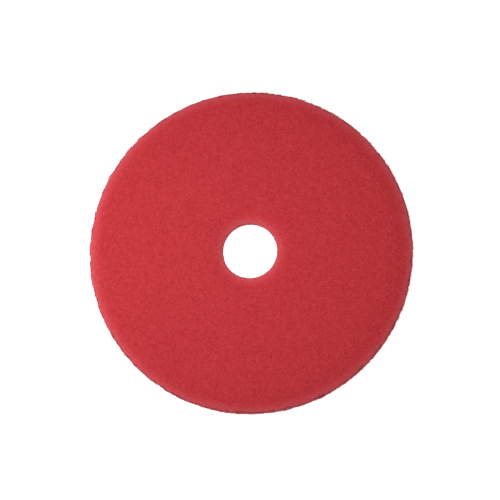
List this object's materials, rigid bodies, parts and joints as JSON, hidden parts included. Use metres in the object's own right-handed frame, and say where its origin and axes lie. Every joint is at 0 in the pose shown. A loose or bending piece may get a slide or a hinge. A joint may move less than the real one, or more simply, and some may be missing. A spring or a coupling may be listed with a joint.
{
  "type": "floor buffing pad",
  "caption": "Round nonwoven floor buffing pad with an open centre hole, built as a stack of bonded fibre web laps with die-rounded edges.",
  "frame": {"origin": "centre of the pad's underside, on the axis of the centre hole", "axes": "+Z along the pad's axis, from the floor side up to the driver side; X and Y are free, because the pad is round"},
  "size_m": [0.508, 0.508, 0.0254],
  "materials": {
    "sprayed_face_web": "matte",
    "bonded_core_web": "matte"
  },
  "bodies": {
    "root": {"bottom_face_web": "sprayed_face_web", "core_web_1": "bonded_core_web", "core_web_2": "bonded_core_web", "core_web_3": "bonded_core_web", "core_web_4": "bonded_core_web", "core_web_5": "bonded_core_web", "core_web_6": "bonded_core_web", "top_face_web": "sprayed_face_web"}
  },
  "joints": []
}
